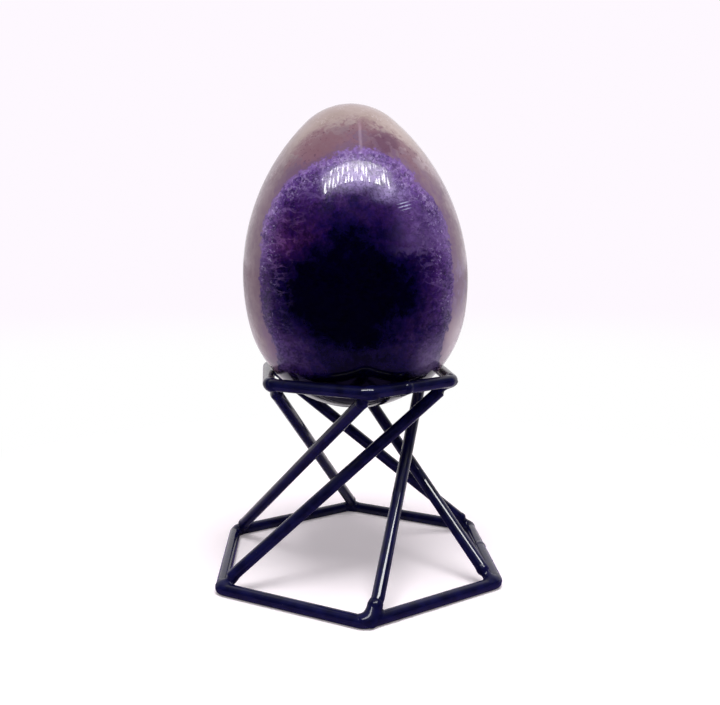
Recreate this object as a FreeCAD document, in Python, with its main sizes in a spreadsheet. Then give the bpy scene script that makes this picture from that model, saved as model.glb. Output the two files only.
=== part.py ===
"""A polished crystal egg resting loose in a twisted hexagonal wire stand.

Lengths are millimetres and angles are degrees. The stand's upright axis is Z, the table is Z = 0,
and one corner of the base ring points to -Y, which is the front.
"""
import FreeCAD, Part
import math
import os
import Sketcher

# Driving sizes, one cell each
SIZES = {
    # The wire that the whole stand is bent from, with its enamel
    "wire_diameter": 3.0,
    # The two hexagonal rings, measured to the wire's centreline at a sharp corner
    "base_corner_radius": 38.0,
    "top_corner_radius": 25.3,
    "bend_radius": 2.6,
    "stand_height": 50.8,
    "base_flat": 0.12,
    # The butt weld that closes each ring
    "seam_gap": 0.5,
    "seam_length": 2.6,
    "seam_proud": 0.2,
    "base_seam_offset": 3.0,
    "top_seam_offset": -1.7,
    # The legs stop short of the rings' mid-planes, and welds bridge what is left
    "foot_setback": 3.6,
    "head_setback": 3.9,
    "weld_setback": 2.2,
    "weld_length": 5.2,
    "weld_width": 2.5,
    # The front leg's foot, which was pushed sideways when it was welded
    "crooked_length": 5.5,
    "crooked_radius": 8.0,
    # The egg
    "egg_height": 73.8,
    "egg_diameter": 55.2,
    "seat_clearance": 0.08,
    # Room that a cutting block has beyond what it cuts
    "overrun": 5.0,
}

# Angles
TOP_RING_ANGLE = 3.13
CROOKED_ANGLE = 14.0
EGG_LEAN = 2.3
EGG_LEAN_HEADING = 176.9

# Counts: a ring has six corners, and a leg climbs to the top corner two further round
CORNERS = 6
CLIMB_COUNT = 2
CORNER_STEP = 360 / CORNERS
LEG_TURN = CORNER_STEP * CLIMB_COUNT + TOP_RING_ANGLE
FRONT_CORNER = -90
BASE_SEAM_SIDE = 0
TOP_SEAM_SIDE = -60

# The egg's end radii, as shares of half its diameter
EGG_BUTT_SHARE = 0.986
EGG_TIP_SHARE = 0.5676

# Where each leg's line meets the rings' mid-planes, from the sharp corner: outward, then
# anticlockwise seen from above, as shares of the wire's diameter
FOOT_SHARES = [
    (0.15, 0.55),
    (-0.24, -0.38),
    (0.09, -0.22),
    (0.14, -0.40),
    (-0.05, -0.26),
    (0.08, -0.26),
]
HEAD_SHARES = [
    (-0.49, 0.53),
    (-0.26, 0.60),
    (-0.46, 0.21),
    (-0.02, 0.20),
    (-0.27, 0.33),
    (-0.15, 0.34),
]

UP = FreeCAD.Vector(0, 0, 1)

# A constraint takes a point of a curve by number, and a sketch's own axes by negative numbers
START, END, CENTRE = range(1, 4)
HORIZONTAL_AXIS = -1
VERTICAL_AXIS = HORIZONTAL_AXIS - 1
ORIGIN = (HORIZONTAL_AXIS, START)

doc = FreeCAD.newDocument("EggOnStand")
sheet = doc.addObject("Spreadsheet::Sheet", "Sizes")
for row, (alias, value) in enumerate(SIZES.items(), 1):
    sheet.set(f"A{row}", alias)
    sheet.set(f"B{row}", str(value))
    sheet.setAlias(f"B{row}", alias)
doc.recompute()


def cell(alias):
    """A size as the sheet holds it."""
    return float(sheet.get(alias))


def heading(degrees):
    """A level unit vector."""
    return FreeCAD.Vector(math.cos(math.radians(degrees)), math.sin(math.radians(degrees)), 0)


# Sizes worked out from the sheet
wire_radius = cell("wire_diameter") / 2
half_corner = math.radians(CORNER_STEP / 2)
base_height = wire_radius - cell("base_flat")
top_height = cell("stand_height") - wire_radius
butt_radius = EGG_BUTT_SHARE * cell("egg_diameter") / 2
tip_radius = EGG_TIP_SHARE * cell("egg_diameter") / 2

BASE_HEIGHT = "Sizes.wire_diameter / 2 - Sizes.base_flat"
TOP_HEIGHT = "Sizes.stand_height - Sizes.wire_diameter / 2"


def new_body(name):
    """An empty body with a label."""
    body = doc.addObject("PartDesign::Body", name)
    body.Label = name
    return body


def new_sketch(body, name, plane):
    """A sketch on one of its own body's origin planes."""
    sketch = body.newObject("Sketcher::SketchObject", name)
    sketch.AttachmentSupport = [f for f in body.Origin.OriginFeatures if f.Role == plane]
    sketch.MapMode = "FlatFace"
    return sketch


def dimension(sketch, expression, kind, *where):
    """A driving dimension bound to the sheet."""
    index = sketch.addConstraint(Sketcher.Constraint(kind, *where))
    sketch.setExpression(f"Constraints[{index}]", expression)


def relate(sketch, kind, *where):
    """A geometric constraint."""
    sketch.addConstraint(Sketcher.Constraint(kind, *where))


def wire_section(body, name, plane):
    """A sketch of the wire's round section, centred on the body's origin."""
    sketch = new_sketch(body, name, plane)
    circle = sketch.addGeometry(Part.Circle(FreeCAD.Vector(), UP, wire_radius))
    relate(sketch, "Coincident", circle, CENTRE, *ORIGIN)
    dimension(sketch, "Sizes.wire_diameter / 2", "Radius", circle, wire_radius)
    return sketch


def chain(sketch, start, direction, runs, radius, turn):
    """Straight runs joined by tangent arcs that all turn the same way, as bent wire.

    Returns the ids of the runs and of the arcs.
    """
    lines = []
    arcs = []
    point = FreeCAD.Vector(start)
    angle = direction
    side = math.copysign(90, turn)
    for number, run in enumerate(runs):
        ahead = heading(angle)
        lines.append(sketch.addGeometry(Part.LineSegment(point, point + ahead * run)))
        point = point + ahead * run
        if number == len(runs) - 1:
            break
        centre = point + heading(angle + side) * radius
        circle = Part.Circle(centre, UP, radius)
        ends = sorted((angle - side, angle - side + turn))
        arcs.append(sketch.addGeometry(Part.ArcOfCircle(circle, *[math.radians(a) for a in ends])))
        angle += turn
        point = centre + heading(angle - side) * radius
    for number, arc in enumerate(arcs):
        near, far = (START, END) if turn > 0 else (END, START)
        relate(sketch, "Tangent", lines[number], END, arc, near)
        relate(sketch, "Tangent", arc, far, lines[number + 1], START)
        relate(sketch, "Angle", arc, math.radians(abs(turn)))
    return lines, arcs


def pipe(body, section, path):
    """The wire's section carried along a path sketch."""
    feature = body.newObject("PartDesign::AdditivePipe", "Wire")
    feature.Profile = section
    feature.Spine = (path, [f"Edge{number}" for number in range(1, path.GeometryCount + 1)])


def ring(name, corner_size, seam_size, turn, height, height_size):
    """A hexagon of bent wire that starts and ends at a seam, part way along its +X side."""
    corner_radius = cell(corner_size)
    bend = cell("bend_radius")
    seam = cell(seam_size)
    gap = cell("seam_gap")
    apothem = corner_radius * math.cos(half_corner)
    straight = 2 * (apothem - bend) * math.tan(half_corner)
    first = straight / 2 - seam - gap / 2
    last = straight / 2 + seam - gap / 2
    body = new_body(name)

    path = new_sketch(body, "Path", "XY_Plane")
    path.setExpression("AttachmentOffset.Base.z", height_size)
    start = FreeCAD.Vector(apothem, seam + gap / 2, 0)
    runs = [first] + [straight] * (CORNERS - 1) + [last]
    lines, arcs = chain(path, start, 90, runs, bend, CORNER_STEP)
    relate(path, "Vertical", lines[0])
    side = f"Sizes.{corner_size} * cos({CORNER_STEP / 2})"
    side_run = f"2 * ({side} - Sizes.bend_radius) * tan({CORNER_STEP / 2})"
    seam_start = f"Sizes.{seam_size} + Sizes.seam_gap / 2"
    seam_end = f"Sizes.{seam_size} - Sizes.seam_gap / 2"
    dimension(path, side, "DistanceX", *ORIGIN, lines[0], START, apothem)
    dimension(path, seam_start, "DistanceY", *ORIGIN, lines[0], START, start.y)
    dimension(path, f"{side_run} / 2 - ({seam_start})", "Distance", lines[0], first)
    for line in lines[1:-1]:
        dimension(path, side_run, "Distance", line, straight)
    dimension(path, f"{side_run} / 2 + {seam_end}", "Distance", lines[-1], last)
    for arc in arcs:
        dimension(path, "Sizes.bend_radius", "Radius", arc, bend)

    section = new_sketch(body, "Section", "XZ_Plane")
    section.setExpression("AttachmentOffset.Base.z", f"-({seam_start})")
    circle = section.addGeometry(Part.Circle(FreeCAD.Vector(apothem, height, 0), UP, wire_radius))
    dimension(section, side, "DistanceX", *ORIGIN, circle, CENTRE, apothem)
    dimension(section, height_size, "DistanceY", *ORIGIN, circle, CENTRE, height)
    dimension(section, "Sizes.wire_diameter / 2", "Radius", circle, wire_radius)
    pipe(body, section, path)
    body.Placement = FreeCAD.Placement(FreeCAD.Vector(), FreeCAD.Rotation(UP, turn))
    return body


def cut(name, base, tool):
    """One solid less another."""
    feature = doc.addObject("Part::Cut", name)
    feature.Label = name
    feature.Base = base
    feature.Tool = tool
    return feature


def bead(name, centre, axis, length_expression, width_expression):
    """A bead of weld metal: an ellipsoid with its length along an axis."""
    feature = doc.addObject("Part::Ellipsoid", name)
    feature.Label = name
    feature.setExpression("Radius1", length_expression)
    feature.setExpression("Radius2", width_expression)
    feature.setExpression("Radius3", width_expression)
    feature.Placement = FreeCAD.Placement(centre, FreeCAD.Rotation(UP, axis))
    return feature


def seam_weld(name, ring_body, corner_size, seam_size, turn, height):
    """The bead that fills a ring's gap and stands a little proud of its wire."""
    apothem = cell(corner_size) * math.cos(half_corner)
    level = heading(turn) * apothem + heading(turn + 90) * cell(seam_size)
    blob = bead(
        f"{name}_bead",
        level + UP * height,
        heading(turn + 90),
        "Sizes.seam_length / 2",
        "Sizes.wire_diameter / 2 + Sizes.seam_proud",
    )
    return cut(name, blob, ring_body)


def corner_point(corner_size, degrees, height, shares):
    """A point near a ring's sharp corner, on the ring's mid-plane."""
    outward, along = [share * cell("wire_diameter") for share in shares]
    level = heading(degrees) * (cell(corner_size) + outward) + heading(degrees + 90) * along
    return level + UP * height


def span_expression(number):
    """The length of a leg's line between the rings' mid-planes, worked out in its foot's own frame."""
    foot_out, foot_along = FOOT_SHARES[number]
    head_out, head_along = HEAD_SHARES[number]
    wire = "Sizes.wire_diameter"
    cosine = f"cos({LEG_TURN})"
    sine = f"sin({LEG_TURN})"
    reach = f"(Sizes.top_corner_radius + {head_out} * {wire})"
    outward = f"({reach} * {cosine} - {head_along} * {wire} * {sine}"
    outward += f" - Sizes.base_corner_radius - {foot_out} * {wire})"
    along = f"({reach} * {sine} + {head_along} * {wire} * {cosine} - {foot_along} * {wire})"
    rise = f"({TOP_HEIGHT} - ({BASE_HEIGHT}))"
    return f"sqrt({outward}^2 + {along}^2 + {rise}^2)"


def straight_rod(name, span_size):
    """A rod of wire that hangs from its origin along -Z."""
    body = new_body(name)
    section = wire_section(body, "Section", "XY_Plane")
    pad = body.newObject("PartDesign::Pad", "Rod")
    pad.Profile = section
    pad.Reversed = True
    pad.setExpression("Length", f"{span_size} - Sizes.foot_setback - Sizes.head_setback")
    return body


def crooked_rod(name, span, span_size):
    """A rod that hangs from its origin along -Z and bends towards +X near its foot."""
    body = new_body(name)
    section = wire_section(body, "Section", "XY_Plane")
    path = new_sketch(body, "Path", "XZ_Plane")
    radius = cell("crooked_radius")
    knee = radius * math.tan(math.radians(CROOKED_ANGLE / 2))
    straight = span - cell("head_setback") - cell("crooked_length") - knee
    foot = cell("crooked_length") - knee - cell("foot_setback")
    lines, arcs = chain(path, FreeCAD.Vector(), -90, [straight, foot], radius, CROOKED_ANGLE)
    knee_size = f"Sizes.crooked_radius * tan({CROOKED_ANGLE / 2})"
    straight_size = f"{span_size} - Sizes.head_setback - Sizes.crooked_length - {knee_size}"
    foot_size = f"Sizes.crooked_length - {knee_size} - Sizes.foot_setback"
    relate(path, "Coincident", lines[0], START, *ORIGIN)
    relate(path, "Vertical", lines[0])
    dimension(path, straight_size, "Distance", lines[0], straight)
    dimension(path, foot_size, "Distance", lines[1], foot)
    dimension(path, "Sizes.crooked_radius", "Radius", arcs[0], radius)
    pipe(body, section, path)
    return body


def leg(number):
    """One leg, cut to clear both rings, and the bead at each of its ends."""
    base_angle = FRONT_CORNER + CORNER_STEP * number
    top_angle = base_angle + LEG_TURN
    foot = corner_point("base_corner_radius", base_angle, base_height, FOOT_SHARES[number])
    head = corner_point("top_corner_radius", top_angle, top_height, HEAD_SHARES[number])
    span = (head - foot).Length
    climb = (head - foot).normalize()
    foot_climb = climb
    name = f"leg_{number + 1}"
    if number == 0:
        # The foot turns clockwise, back towards the corner
        sideways = heading(base_angle - 90)
        sideways = (sideways - climb * sideways.dot(climb)).normalize()
        lean = math.radians(CROOKED_ANGLE)
        foot_climb = climb * math.cos(lean) - sideways * math.sin(lean)
        foot = foot + (climb - foot_climb) * cell("crooked_length")
        rotation = FreeCAD.Rotation(sideways, FreeCAD.Vector(), climb, "ZXY")
        rod = crooked_rod(f"{name}_rod", span, span_expression(number))
    else:
        rotation = FreeCAD.Rotation(UP, climb)
        rod = straight_rod(f"{name}_rod", span_expression(number))
    rod.Placement = FreeCAD.Placement(head - climb * cell("head_setback"), rotation)
    piece = cut(name, cut(f"{name}_clear_of_base", rod, base_ring), top_ring)
    welds = []
    for place, point, away, near_ring in (
        ("foot", foot, foot_climb, base_ring),
        ("head", head, climb * -1, top_ring),
    ):
        weld_name = f"{place}_weld_{number + 1}"
        centre = point + away * cell("weld_setback")
        blob = bead(f"{weld_name}_bead", centre, away, "Sizes.weld_length / 2", "Sizes.weld_width / 2")
        welds.append(cut(weld_name, cut(f"{weld_name}_on_ring", blob, near_ring), piece))
    return [piece] + welds


def egg():
    """A solid of revolution whose outline is three tangent arcs: butt, flank and tip."""
    half_width = cell("egg_diameter") / 2
    centres_apart = cell("egg_height") - butt_radius - tip_radius
    # The flank arc touches both end arcs from inside and is level with the widest girth
    taper = (butt_radius - tip_radius) / (half_width - butt_radius)
    excess = (half_width - tip_radius) * (butt_radius - tip_radius)
    root = math.sqrt(centres_apart**2 + taper * (centres_apart**2 - excess))
    girth = (root - centres_apart) / taper
    flank_radius = (girth**2 / (half_width - butt_radius) + butt_radius + half_width) / 2
    flank_centre = FreeCAD.Vector(half_width - flank_radius, girth, 0)
    tip_centre = FreeCAD.Vector(0, centres_apart, 0)
    low = math.atan2(-flank_centre.y, -flank_centre.x)
    high = math.atan2(tip_centre.y - flank_centre.y, -flank_centre.x)

    body = new_body("crystal_egg")
    outline = new_sketch(body, "Outline", "XZ_Plane")
    arcs = []
    for centre, radius, first, last in (
        (FreeCAD.Vector(), butt_radius, -math.pi / 2, low),
        (flank_centre, flank_radius, low, high),
        (tip_centre, tip_radius, high, math.pi / 2),
    ):
        circle = Part.Circle(centre, UP, radius)
        arcs.append(outline.addGeometry(Part.ArcOfCircle(circle, first, last)))
    butt, flank, tip = arcs
    top = FreeCAD.Vector(0, centres_apart + tip_radius, 0)
    bottom = FreeCAD.Vector(0, -butt_radius, 0)
    axis = outline.addGeometry(Part.LineSegment(top, bottom))
    side = FreeCAD.Vector(half_width, 0, 0)
    gauge = outline.addGeometry(Part.LineSegment(side, side + top), True)
    relate(outline, "Tangent", butt, END, flank, START)
    relate(outline, "Tangent", flank, END, tip, START)
    relate(outline, "Coincident", tip, END, axis, START)
    relate(outline, "Coincident", axis, END, butt, START)
    relate(outline, "Coincident", butt, CENTRE, *ORIGIN)
    relate(outline, "PointOnObject", tip, CENTRE, VERTICAL_AXIS)
    relate(outline, "PointOnObject", axis, START, VERTICAL_AXIS)
    relate(outline, "Vertical", axis)
    relate(outline, "Vertical", gauge)
    relate(outline, "Tangent", gauge, flank)
    half = "Sizes.egg_diameter / 2"
    dimension(outline, f"{EGG_BUTT_SHARE} * {half}", "Radius", butt, butt_radius)
    dimension(outline, f"{EGG_TIP_SHARE} * {half}", "Radius", tip, tip_radius)
    dimension(outline, "Sizes.egg_height", "Distance", axis, cell("egg_height"))
    dimension(outline, half, "DistanceX", *ORIGIN, gauge, START, half_width)

    turned = body.newObject("PartDesign::Revolution", "Turned")
    turned.Profile = outline
    turned.ReferenceAxis = (outline, ["V_Axis"])
    turned.Angle = 360

    # The butt is a ball that rests on the middles of the top ring's six sides, clear of its seam
    apothem = cell("top_corner_radius") * math.cos(half_corner)
    reach = butt_radius + wire_radius + cell("seam_proud") + cell("seat_clearance")
    seat = UP * (top_height + math.sqrt(reach**2 - apothem**2))
    lean = FreeCAD.Rotation(heading(EGG_LEAN_HEADING + 90), EGG_LEAN)
    body.Placement = FreeCAD.Placement(seat, lean)
    return body


base_seam = ("base_corner_radius", "base_seam_offset", BASE_SEAM_SIDE, base_height)
top_seam = ("top_corner_radius", "top_seam_offset", TOP_SEAM_SIDE + TOP_RING_ANGLE, top_height)
base_wire = ring("base_wire", *base_seam, BASE_HEIGHT)
top_ring = ring("top_ring", *top_seam, TOP_HEIGHT)

# The base is dressed flat underneath, so that it stands without rocking
floor_block = doc.addObject("Part::Box", "floor_block")
block_side = "2 * (Sizes.base_corner_radius + Sizes.overrun)"
floor_block.setExpression("Length", block_side)
floor_block.setExpression("Width", block_side)
floor_block.setExpression("Height", "Sizes.overrun")
corner = cell("base_corner_radius") + cell("overrun")
floor_block.Placement.Base = FreeCAD.Vector(-corner, -corner, -cell("overrun"))
base_ring = cut("base_ring", base_wire, floor_block)

base_bead = seam_weld("base_ring_seam", base_ring, *base_seam)
pieces = [
    base_ring,
    cut("base_ring_seam_weld", base_bead, floor_block),
    top_ring,
    seam_weld("top_ring_seam_weld", top_ring, *top_seam),
]
for number in range(CORNERS):
    pieces.extend(leg(number))
pieces.append(egg())
doc.recompute()

for item in doc.Objects:
    if "Invalid" in item.State or "Error" in item.State:
        raise RuntimeError(f"{item.Label} did not build: {item.State}")
for piece in pieces:
    if piece.Shape.isNull() or not piece.Shape.isValid():
        raise RuntimeError(f"{piece.Label} has no valid shape")
    if len(piece.Shape.Solids) != 1:
        raise RuntimeError(f"{piece.Label} is {len(piece.Shape.Solids)} solids")

os.makedirs("parts", exist_ok=True)
for piece in pieces:
    piece.Shape.exportStep(f"parts/{piece.Label}.step")
    box = piece.Shape.BoundBox
    print(
        f"{piece.Label:22s} {piece.Shape.Volume:9.2f} mm3"
        f"  z {box.ZMin:7.2f} to {box.ZMax:7.2f}  {len(piece.Shape.Faces)} faces"
    )
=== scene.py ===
"""The looks of a polished amethyst egg that rests in a stand of black enamelled wire.

Lengths are metres. The stand's upright axis is Z, the table is Z = 0, and the front is -Y.
"""

import math

import bpy
import numpy as np
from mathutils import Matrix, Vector

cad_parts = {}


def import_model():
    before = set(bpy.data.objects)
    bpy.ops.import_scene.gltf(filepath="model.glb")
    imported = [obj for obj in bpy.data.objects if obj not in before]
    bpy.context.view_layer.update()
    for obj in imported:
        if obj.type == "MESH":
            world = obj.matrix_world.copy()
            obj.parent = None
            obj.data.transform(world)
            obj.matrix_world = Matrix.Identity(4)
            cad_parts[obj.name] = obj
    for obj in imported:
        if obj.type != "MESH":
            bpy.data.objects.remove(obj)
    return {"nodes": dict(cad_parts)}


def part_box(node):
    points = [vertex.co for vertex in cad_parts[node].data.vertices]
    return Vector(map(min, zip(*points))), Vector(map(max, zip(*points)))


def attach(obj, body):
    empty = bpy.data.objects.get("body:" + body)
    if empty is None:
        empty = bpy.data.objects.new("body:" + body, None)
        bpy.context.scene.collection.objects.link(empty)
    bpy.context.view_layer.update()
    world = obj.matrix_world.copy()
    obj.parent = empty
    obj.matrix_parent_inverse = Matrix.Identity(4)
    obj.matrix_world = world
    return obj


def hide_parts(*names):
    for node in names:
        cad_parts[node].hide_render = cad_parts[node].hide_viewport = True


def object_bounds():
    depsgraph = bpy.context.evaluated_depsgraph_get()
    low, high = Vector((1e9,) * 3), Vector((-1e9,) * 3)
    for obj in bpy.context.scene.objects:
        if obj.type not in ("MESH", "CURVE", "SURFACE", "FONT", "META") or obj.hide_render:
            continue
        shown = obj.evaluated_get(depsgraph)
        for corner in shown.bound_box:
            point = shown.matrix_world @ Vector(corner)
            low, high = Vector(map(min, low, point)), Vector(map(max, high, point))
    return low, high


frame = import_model()
cad_low, cad_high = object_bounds()

MM = 0.001
TURN = 2 * math.pi
CORNERS = 6
HALF_CORNER = TURN / CORNERS / 2

# The stand's wire and its bends, as the frame has them
TOP_RING_LOW, TOP_RING_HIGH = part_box("top_ring")
WIRE_RADIUS = (TOP_RING_HIGH.z - TOP_RING_LOW.z) / 2
BASE_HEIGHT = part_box("base_ring")[1].z - WIRE_RADIUS
TOP_HEIGHT = TOP_RING_HIGH.z - WIRE_RADIUS
BEND_RADIUS = 2.6 * MM
BASE_CORNER_RADIUS = 38.0 * MM
TOP_CORNER_RADIUS = 25.3 * MM
TOP_RING_TURN = math.radians(3.13)
FRONT_CORNER = math.radians(-90)
# What the enamel's own unevenness may take off the wire, so that it never stands outside the frame
ENAMEL_ALLOWANCE = 0.012 * MM

# The welds, and the legs' cut ends in them
WELD_REACH = 3.4 * MM
WELD_SETBACK = 2.2 * MM
WELD_SINK = 0.03 * MM
WELD_LUMPS = 0.07 * MM
NECK_OVERLAP = 0.4 * MM
FOOT_SETBACK = 3.6 * MM
RING_FILLET = 1.5 * MM
ROD_FILLET = 0.9 * MM
CUT_ROUNDING = 0.28 * MM
CROOK_ANGLE = math.radians(14)
CROOK_LENGTH = 5.5 * MM
CROOK_RADIUS = 8.0 * MM
SEAM_BEAD_LENGTH = 2.6 * MM
SEAM_BEAD_PROUD = 0.2 * MM
BASE_SEAM_OFFSET = 3.0 * MM
TOP_SEAM_OFFSET = -1.7 * MM
TOP_SEAM_SIDE = math.radians(-60)

# The egg: a ball at its blunt end, a smaller ball at its tip and a long flank between them
EGG_HEIGHT = 73.8 * MM
EGG_HALF_WIDTH = 27.6 * MM
BUTT_RADIUS = 0.986 * EGG_HALF_WIDTH
TIP_RADIUS = 0.5676 * EGG_HALF_WIDTH
EGG_LEAN = math.radians(2.3)
EGG_LEAN_HEADING = math.radians(176.9)
BUTT_CENTRE = Vector((0, 0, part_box("crystal_egg")[0].z + BUTT_RADIUS))
# What its polish takes off all over, so that it never stands outside the frame
POLISH_ALLOWANCE = 0.01 * MM
POLISH_FLATS = 0.07
# In the stone's own millimetres, the purple starts at this Y
PURPLE_FROM = -17.7
# Polishing strokes: this many times 2 pi round the egg, and this many in a millimetre up it
STROKES_AROUND = 39.0
STROKES_ALONG = 0.27

# How finely the pieces are meshed
WIRE_COLUMNS = 36
RING_SIDE_ROWS = 64
RING_BEND_ROWS = 18
ROD_ROWS = 120
CUT_EDGE_ROWS = 6
LEG_PATH_ROWS = 160
CROOK_ROWS = 24
BEAD_ROWS = 56
BEAD_COLUMNS = 64
BEAD_STEPS = 72
# A direction that no bead's axis has, to start its grid from
OFF_ANY_AXIS = (0.3, 0.5, 0.81)
EGG_ROWS = 260
EGG_COLUMNS = 300


def heading(angle):
    """A level unit vector."""
    return np.array([math.cos(angle), math.sin(angle), 0.0])


def unit(vector):
    return vector / np.linalg.norm(vector)


def smooth_union(first, second, fillet):
    """The smaller of two distances, rounded where they are alike, as a fillet rounds a corner."""
    near = np.maximum(fillet - np.abs(first - second), 0) / fillet
    return np.minimum(first, second) - near * near * fillet / 4


def skin(name, rows, closed):
    """A mesh on a grid of points. Columns always close; rows close too, or end in poles."""
    count, around = rows.shape[:2]
    here = np.arange(around)
    beside = np.roll(here, -1)
    if closed:
        points = rows.reshape(-1, 3)
        first = np.arange(count)
        second = np.roll(first, -1)
        fans = []
    else:
        points = np.vstack([rows[1:-1].reshape(-1, 3), rows[0].mean(0), rows[-1].mean(0)])
        first = np.arange(count - 3)
        second = first + 1
        start, end = len(points) - 2, len(points) - 1
        last = (count - 3) * around
        fans = np.stack([np.full(around, start), beside, here], 1).tolist()
        fans += np.stack([last + here, last + beside, np.full(around, end)], 1).tolist()
    low = first[:, None] * around
    high = second[:, None] * around
    quads = np.stack([low + here, low + beside, high + beside, high + here], 2).reshape(-1, 4)
    mesh = bpy.data.meshes.new(name)
    mesh.from_pydata(points.tolist(), [], quads.tolist() + fans)
    mesh.shade_smooth()
    piece = bpy.data.objects.new(name, mesh)
    bpy.context.scene.collection.objects.link(piece)
    return piece


def dress(piece, node, body, material):
    """Puts a piece in a node's place."""
    piece.data.materials.append(material)
    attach(piece, body)
    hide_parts(node)


def ripple(phase, *waves):
    """A sum of sines, one for each (height, count, shift)."""
    return sum(height * np.sin(count * phase + shift) for height, count, shift in waves)


def full_turn(count):
    """Angles once round, evenly apart."""
    return np.linspace(0, TURN, count, endpoint=False)


def tube(path, across, upward, radius):
    """Rings of points round a path: path + radius * (cos(a) * across + sin(a) * upward)."""
    angles = full_turn(WIRE_COLUMNS)[None, :, None]
    circle = np.cos(angles) * across[:, None] + np.sin(angles) * upward[:, None]
    return path[:, None] + radius[..., None] * circle


def wire_thickness(along, around, seed):
    """The wire's radius under uneven enamel: long swells and faint lumps, never above the allowance."""
    swell = ripple(along, (0.45, 0.21, seed), (0.3, 0.53, 2.1 * seed))
    lumps = ripple(along, (0.15, 1.7, seed)) * np.cos(around + 0.3 * along)
    return WIRE_RADIUS - ENAMEL_ALLOWANCE * (1 - swell - lumps)


def ring_piece(name, corner_radius, height, turn, seed):
    """A bent wire ring: an inner hexagon's outline carried outward by the bend's radius.

    Along a side the path is corner + s * side; round a corner it is corner + bend * (cos, sin).
    """
    inner = corner_radius * math.cos(HALF_CORNER) - BEND_RADIUS
    straight = 2 * inner * math.tan(HALF_CORNER)
    side = np.arange(CORNERS)[:, None] * 2 * HALF_CORNER + turn
    run = np.linspace(-0.5, 0.5, RING_SIDE_ROWS, endpoint=False)[None] * straight
    bend = np.linspace(0, 2 * HALF_CORNER, RING_BEND_ROWS, endpoint=False)[None]
    normal = np.hstack([side + 0 * run, side + bend])
    slide = np.hstack([run + 0 * side, straight / 2 + 0 * side + 0 * bend]).reshape(-1, 1)
    corner_side = side + 0 * normal
    out = np.stack([np.cos(normal), np.sin(normal), 0 * normal], 2).reshape(-1, 3)
    plain = np.stack([np.cos(corner_side), np.sin(corner_side), 0 * normal], 2).reshape(-1, 3)
    aside = np.stack([-plain[:, 1], plain[:, 0], 0 * plain[:, 0]], 1)
    path = plain * inner + aside * slide + out * BEND_RADIUS
    path[:, 2] = height
    along = np.cumsum(np.linalg.norm(path - np.roll(path, 1, 0), axis=1)) / MM
    whole = TURN / along[-1]
    closed_along = along * whole * np.round(1 / whole / 2)
    thickness = wire_thickness(closed_along[:, None], full_turn(WIRE_COLUMNS)[None], seed)
    rows = tube(path, out, np.tile([0.0, 0.0, 1.0], (len(path), 1)), thickness)
    rows[..., 2] = np.maximum(rows[..., 2], 0)
    return skin(name, rows, closed=True)


def ring_distance(points, corner_radius, height, turn):
    """How far points lie outside a ring's wire.

    Folded into one side's sector, the wire's axis lies one bend radius outside a sharp hexagon.
    """
    inner = corner_radius * math.cos(HALF_CORNER) - BEND_RADIUS
    angle = np.arctan2(points[..., 1], points[..., 0]) - turn
    folded = (angle + HALF_CORNER) % (2 * HALF_CORNER) - HALF_CORNER
    reach = np.hypot(points[..., 0], points[..., 1])
    forward = reach * np.cos(folded) - inner
    aside = np.abs(reach * np.sin(folded)) - inner * math.tan(HALF_CORNER)
    outside = np.where(aside > 0, np.hypot(np.maximum(forward, 0), aside), forward)
    return np.hypot(outside - BEND_RADIUS, points[..., 2] - height) - WIRE_RADIUS


def on_ring_axis(point, ring):
    """The point of a ring's own axis that lies nearest, down the slope of the distance to it."""
    steps = np.eye(3) * 0.01 * MM
    slope = ring_distance(point + steps, *ring) - ring_distance(point - steps, *ring)
    return point - unit(slope) * (ring_distance(point, *ring) + WIRE_RADIUS)


def rod_distance(points, cut, direction):
    """How far points lie outside a rod that starts at its cut end, whose edge is a little round."""
    offset = points - cut
    along = offset @ direction
    aside = np.linalg.norm(offset - along[..., None] * direction, axis=-1)
    over = np.maximum(aside - WIRE_RADIUS + CUT_ROUNDING, 0)
    before = np.maximum(CUT_ROUNDING - along, 0)
    inside = np.minimum(np.maximum(aside - WIRE_RADIUS, -along), 0)
    return np.hypot(over, before) - CUT_ROUNDING + inside * ((over + before) <= 0)


def neck_distance(points, start, end, start_radius, end_radius):
    """How far points lie outside a round neck that tapers from one ball to another."""
    line = end - start
    share = np.clip((points - start) @ line / (line @ line), 0, 1)
    reach = np.linalg.norm(points - start - share[..., None] * line, axis=-1)
    return reach - start_radius - share * (end_radius - start_radius)


def bead_piece(name, centre, axis, reach, field):
    """Weld metal round a centre: in each direction, the first distance at which the field is zero.

    The directions are a grid of latitudes from the axis and longitudes round it.
    """
    across = unit(np.cross(axis, OFF_ANY_AXIS))
    upward = np.cross(axis, across)
    latitude = np.linspace(0, math.pi, BEAD_ROWS)[:, None]
    longitude = full_turn(BEAD_COLUMNS)[None]
    ways = (
        np.cos(latitude)[..., None] * axis
        + (np.sin(latitude) * np.cos(longitude))[..., None] * across
        + (np.sin(latitude) * np.sin(longitude))[..., None] * upward
    )
    steps = np.linspace(0, reach, BEAD_STEPS)
    values = field(centre + ways[:, :, None] * steps[:, None])
    values[:, :, -1] = 1
    outside = np.argmax(values > 0, axis=2)
    inner = np.maximum(outside - 1, 0)
    before = np.take_along_axis(values, inner[..., None], 2)[..., 0]
    after = np.take_along_axis(values, outside[..., None], 2)[..., 0]
    share = np.where(outside == len(steps) - 1, 0, before / (before - after))
    distance = steps[inner] + share * (steps[1] - steps[0])
    rows = np.clip(centre + ways * distance[..., None], cad_low, cad_high)
    return skin(name, rows, closed=False)


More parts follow.
